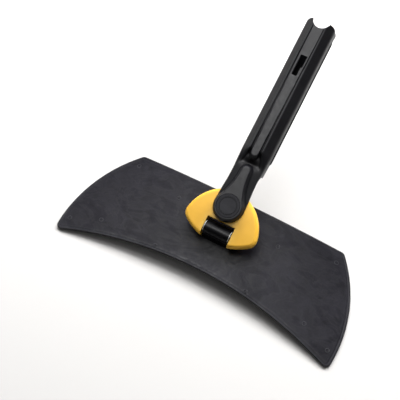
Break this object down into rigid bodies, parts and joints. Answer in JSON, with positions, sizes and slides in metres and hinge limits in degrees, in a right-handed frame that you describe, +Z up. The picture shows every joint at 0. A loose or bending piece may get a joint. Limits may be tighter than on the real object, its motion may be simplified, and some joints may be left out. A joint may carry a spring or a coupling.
{
  "type": "flat cleaning pad holder",
  "caption": "Flexible arched pad plate with a tilting yoke and a swivelling socket for a push-in pole.",
  "frame": {"origin": "underside of the flexible plate at its crown, straight below the hinge axis", "axes": "+X along the plate and the hinge axis, +Y to the straight rear edge, +Z up, away from the pad"},
  "size_m": [0.3526, 0.3253, 0.1419],
  "materials": {
    "charcoal_rubber": "matt, slightly mottled soft-touch rubber",
    "black_gloss": "polished black nylon",
    "black_plastic": "satin moulded black plastic",
    "charcoal_plastic": "satin moulded dark grey plastic",
    "yellow_plastic": "smooth satin yellow plastic",
    "hook_tape": "woven hook tape",
    "acetal": "natural acetal",
    "steel": "zinc plated steel"
  },
  "bodies": {
    "plate": {"flex_plate": "charcoal_rubber", "backing_plate": "steel", "hook_strip_front_left": "hook_tape", "hook_strip_front_centre": "hook_tape", "hook_strip_front_right": "hook_tape", "hook_strip_rear_left": "hook_tape", "hook_strip_rear_centre": "hook_tape", "hook_strip_rear_right": "hook_tape", "hinge_bracket": "black_gloss", "bracket_screws": "steel", "hinge_bush_left": "acetal", "hinge_bush_right": "acetal", "tilt_washer_left": "black_plastic", "tilt_washer_right": "black_plastic"},
    "yoke": {"yoke_top_shell": "yellow_plastic", "yoke_bottom_shell": "yellow_plastic", "yoke_screws": "steel", "hinge_pin": "steel", "swivel_bolt": "steel", "swivel_washer": "acetal", "nut_washer": "steel", "swivel_nut": "steel"},
    "handle": {"handle_socket": "black_plastic", "pivot_cap": "charcoal_plastic", "swivel_bush": "acetal", "disc_spring": "steel"}
  },
  "joints": [
    {"name": "yoke_tilt", "type": "hinge", "parent": "plate", "child": "yoke", "pos_m": [0, 0, 0.0195], "axis": [1, 0, 0], "range_deg": [-16, 114]},
    {"name": "handle_swivel", "type": "hinge", "parent": "yoke", "child": "handle", "pos_m": [0, 0.02801, 0.03025], "axis": [0, -0.3584, 0.9336], "range_deg": [-75, 75]}
  ]
}
